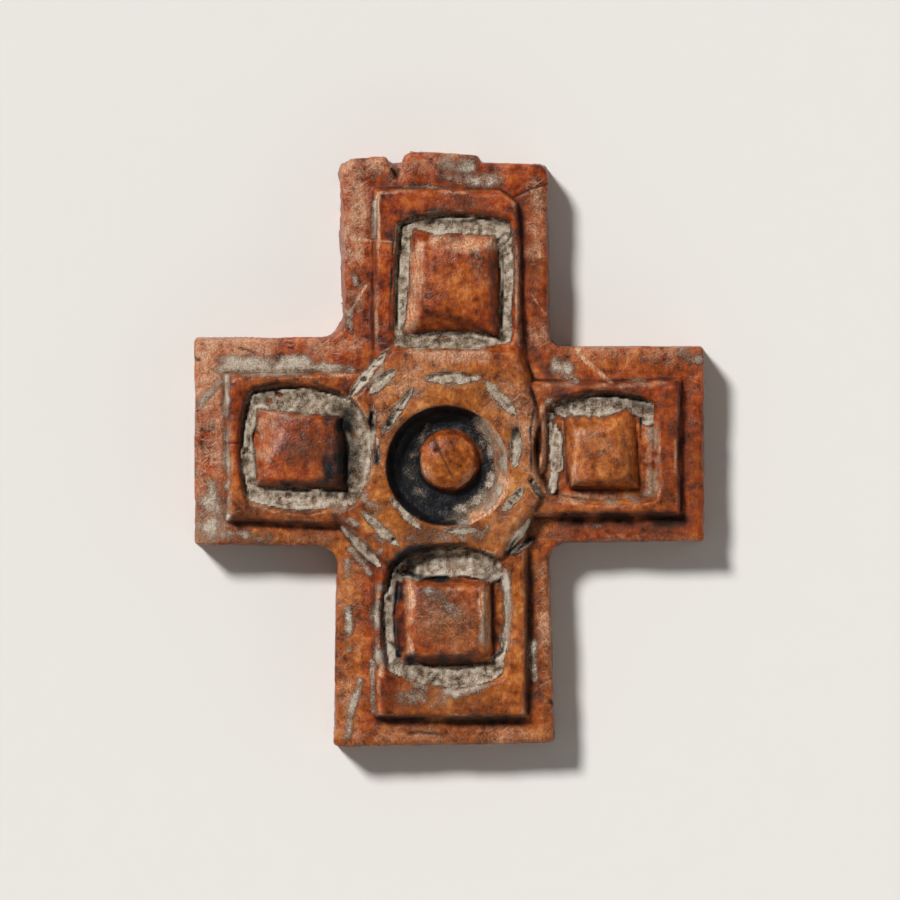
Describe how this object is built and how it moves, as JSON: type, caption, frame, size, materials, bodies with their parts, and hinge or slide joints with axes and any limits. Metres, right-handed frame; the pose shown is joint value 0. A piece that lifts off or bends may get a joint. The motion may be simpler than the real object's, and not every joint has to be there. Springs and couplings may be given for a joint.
{
  "type": "carved bone cross",
  "caption": "Flat hand-carved bone cross with a raised inner cross, a square boss on each arm and a round ringed boss in the middle.",
  "frame": {"origin": "on the flat back, under the round boss in the middle of the cross", "axes": "+Y up the cross to its broken end, +X to the right arm, +Z out of the carved face"},
  "size_m": [0.0429, 0.0501, 0.0061],
  "materials": {
    "carved_bone": "hand-carved bone stained amber red, worn smooth and pinkish on its edges, with pale grey soil in the cuts and a black ring channel"
  },
  "bodies": {
    "root": {"bone_cross": "carved_bone"}
  },
  "joints": []
}
